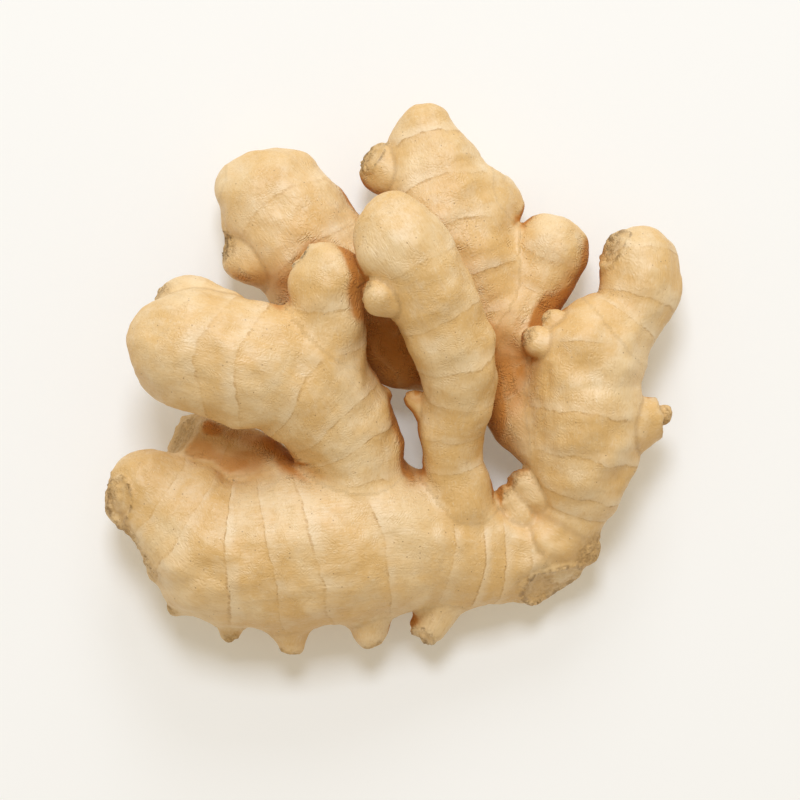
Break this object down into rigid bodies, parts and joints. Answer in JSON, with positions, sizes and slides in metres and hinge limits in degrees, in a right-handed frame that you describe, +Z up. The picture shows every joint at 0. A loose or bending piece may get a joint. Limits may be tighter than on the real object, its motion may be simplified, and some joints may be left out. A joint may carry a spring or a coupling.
{
  "type": "ginger root",
  "caption": "Fresh ginger root: a knobbly hand of swollen, ringed shoots with small buds and broken root stubs, lying flat.",
  "frame": {"origin": "on the surface that the root lies on, under the middle of its outline seen from above", "axes": "+Z up out of that surface; +X along the root's greatest width, from the broken left end of the thick main shoot towards the small right knob; +Y from the row of root stubs towards the tips of the fingers"},
  "size_m": [0.1502, 0.1442, 0.0523],
  "materials": {
    "skin": "dry, thin, papery skin with a soft sheen"
  },
  "bodies": {
    "root": {"ginger_root": "skin"}
  },
  "joints": []
}
